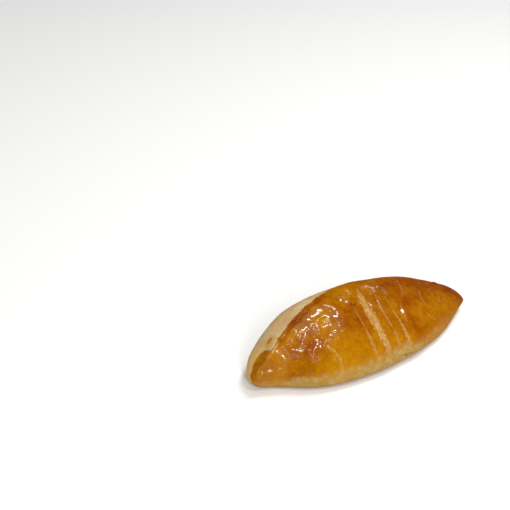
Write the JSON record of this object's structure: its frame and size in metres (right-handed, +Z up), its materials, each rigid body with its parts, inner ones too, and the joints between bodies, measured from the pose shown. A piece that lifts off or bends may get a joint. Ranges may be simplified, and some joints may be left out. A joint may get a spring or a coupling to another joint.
{
  "type": "turnover pastry",
  "caption": "Boat-shaped baked turnover with a glossy egg-washed front, fork scores across the top, a pinched nose and a bare pale side wall; lies on its flat base",
  "frame": {"origin": "middle of the bounding box in plan, at the height of the flat base", "axes": "+X runs along the pastry from the blunt nose to the darker tail, +Y points to the bare side wall, +Z is up"},
  "size_m": [0.13, 0.046, 0.0311],
  "materials": {
    "crust": "glossy egg-washed golden-brown crust, with pale matte dough on the bare side wall, in the scores and along the skirt"
  },
  "bodies": {
    "root": {"turnover": "crust"}
  },
  "joints": []
}
